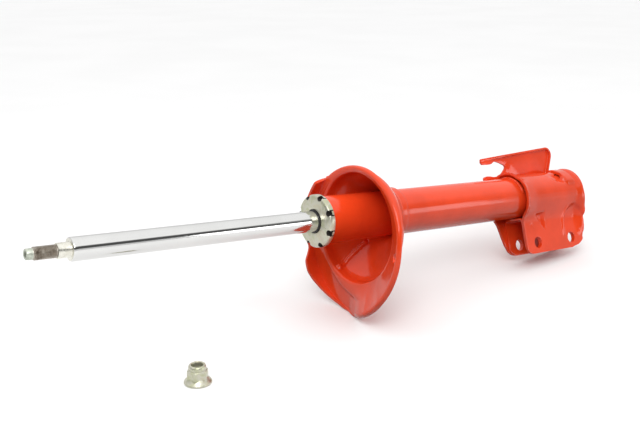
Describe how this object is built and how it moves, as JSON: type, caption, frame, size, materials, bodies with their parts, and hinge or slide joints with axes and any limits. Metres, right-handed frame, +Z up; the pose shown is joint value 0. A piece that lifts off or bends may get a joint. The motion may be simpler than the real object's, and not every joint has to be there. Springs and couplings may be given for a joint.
{
  "type": "suspension strut",
  "caption": "Twin-tube suspension strut with an offset spring seat, a pinched knuckle bracket, a brake hose bracket, a sliding chromed rod and a loose flanged top nut.",
  "frame": {"origin": "centre of the front knuckle bolt, halfway between the two ears", "axes": "+X runs along the strut toward the knuckle end, level with the floor; +Z is up, with the strut lying on its spring seat's rim and one ear, its rod end raised 5.32 degrees and its ears rolled 21 degrees toward -Y"},
  "size_m": [0.7231, 0.164, 0.1638],
  "materials": {
    "body_paint": "glossy orange-red enamel",
    "zinc_plate": "yellow-green passivated zinc, satin",
    "hard_chrome": "ground and polished hard chrome",
    "black_rubber": "satin",
    "plain_steel": "oiled bright steel",
    "sintered_iron": "sintered, matt",
    "bearing_bronze": "bronze bearing strip",
    "bearing_plastic": "filled bearing plastic"
  },
  "bodies": {
    "strut_body": {"outer_tube": "body_paint", "base_cap": "body_paint", "spring_seat": "body_paint", "seat_weld": "body_paint", "clevis_bracket": "body_paint", "clevis_reinforcement": "body_paint", "clevis_welds": "body_paint", "hose_bracket": "body_paint", "hose_bracket_weld": "body_paint", "gland_nut": "zinc_plate", "seal_case": "plain_steel", "rod_seal": "black_rubber", "seal_garter_spring": "plain_steel", "tube_o_ring": "black_rubber", "rod_guide": "sintered_iron", "guide_bush": "bearing_bronze", "pressure_tube": "plain_steel", "base_valve_body": "sintered_iron", "base_valve_bolt": "plain_steel", "base_valve_nut": "plain_steel", "base_valve_discs": "plain_steel", "base_check_spring": "plain_steel"},
    "piston_ring": {"piston_band": "bearing_plastic"},
    "rod": {"piston_rod": "hard_chrome", "rebound_bumper": "black_rubber", "rebound_stop": "plain_steel", "piston": "sintered_iron", "piston_shims": "plain_steel", "piston_check_spring": "plain_steel", "piston_nut": "plain_steel"},
    "piston_check": {"piston_check_plate": "plain_steel"},
    "base_check": {"base_check_plate": "plain_steel"},
    "top_nut": {"flange_nut": "zinc_plate", "nut_locking_ring": "zinc_plate"}
  },
  "joints": [
    {"name": "rod_slide", "type": "slide", "parent": "strut_body", "child": "piston_ring", "axis": [0.9957, 0, -0.0927], "range_m": [0, 0.205], "stiffness_N_per_m": 300, "springref_m": -0.4},
    {"name": "rod_spin", "type": "hinge", "parent": "piston_ring", "child": "rod", "pos_m": [-0.32144, 0.02132, 0.08572], "axis": [0.9957, 0, -0.0927], "continuous": true},
    {"name": "piston_check_lift", "type": "slide", "parent": "rod", "child": "piston_check", "axis": [-0.9957, 0, 0.0927], "range_m": [0, 0.0012], "stiffness_N_per_m": 800, "springref_m": -0.0005},
    {"name": "base_check_lift", "type": "slide", "parent": "strut_body", "child": "base_check", "axis": [-0.9957, 0, 0.0927], "range_m": [0, 0.0012], "stiffness_N_per_m": 800, "springref_m": -0.0005},
    {"name": "top_nut_lift", "type": "slide", "parent": "strut_body", "child": "top_nut", "axis": [0, 0, 1], "range_m": [0, 0.06]}
  ]
}
